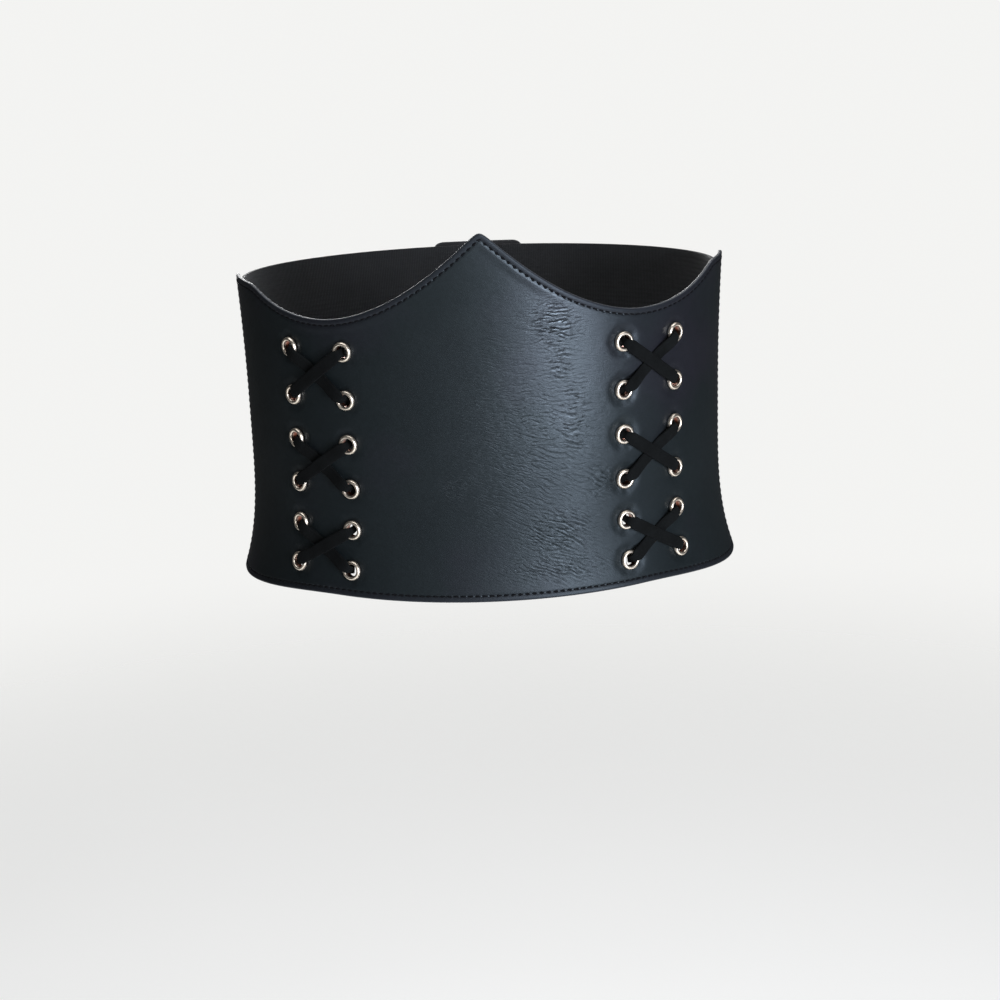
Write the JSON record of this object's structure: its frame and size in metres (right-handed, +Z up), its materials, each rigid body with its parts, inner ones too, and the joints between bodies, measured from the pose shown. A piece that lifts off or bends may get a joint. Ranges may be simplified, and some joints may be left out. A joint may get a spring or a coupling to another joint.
{
  "type": "corset belt",
  "caption": "Wide underbust corset belt: soft black leather front with a pointed top edge, metal eyelets laced in crosses on both sides, and an elastic back with a snapped strap.",
  "frame": {"origin": "on the axis of the wearer's waist, at the height where the belt is narrowest", "axes": "+Z up along the waist's axis, -Y out of the belt's front, +X across the belt to the right as the front is looked at"},
  "size_m": [0.2668, 0.2009, 0.1872],
  "materials": {
    "leather": "soft black leather with a satin sheen and fine creases",
    "eyelet": "polished pale gold plate",
    "lace": "matt black suede",
    "elastic": "matt black woven elastic"
  },
  "bodies": {
    "root": {"front_panel": "leather", "back_strap": "leather", "elastic_right": "elastic", "elastic_left": "elastic", "lace_right": "lace", "lace_left": "lace", "eyelet_right_inner_1": "eyelet", "eyelet_right_inner_2": "eyelet", "eyelet_right_inner_3": "eyelet", "eyelet_right_inner_4": "eyelet", "eyelet_right_inner_5": "eyelet", "eyelet_right_inner_6": "eyelet", "eyelet_right_outer_1": "eyelet", "eyelet_right_outer_2": "eyelet", "eyelet_right_outer_3": "eyelet", "eyelet_right_outer_4": "eyelet", "eyelet_right_outer_5": "eyelet", "eyelet_right_outer_6": "eyelet", "eyelet_left_inner_1": "eyelet", "eyelet_left_inner_2": "eyelet", "eyelet_left_inner_3": "eyelet", "eyelet_left_inner_4": "eyelet", "eyelet_left_inner_5": "eyelet", "eyelet_left_inner_6": "eyelet", "eyelet_left_outer_1": "eyelet", "eyelet_left_outer_2": "eyelet", "eyelet_left_outer_3": "eyelet", "eyelet_left_outer_4": "eyelet", "eyelet_left_outer_5": "eyelet", "eyelet_left_outer_6": "eyelet"}
  },
  "joints": []
}
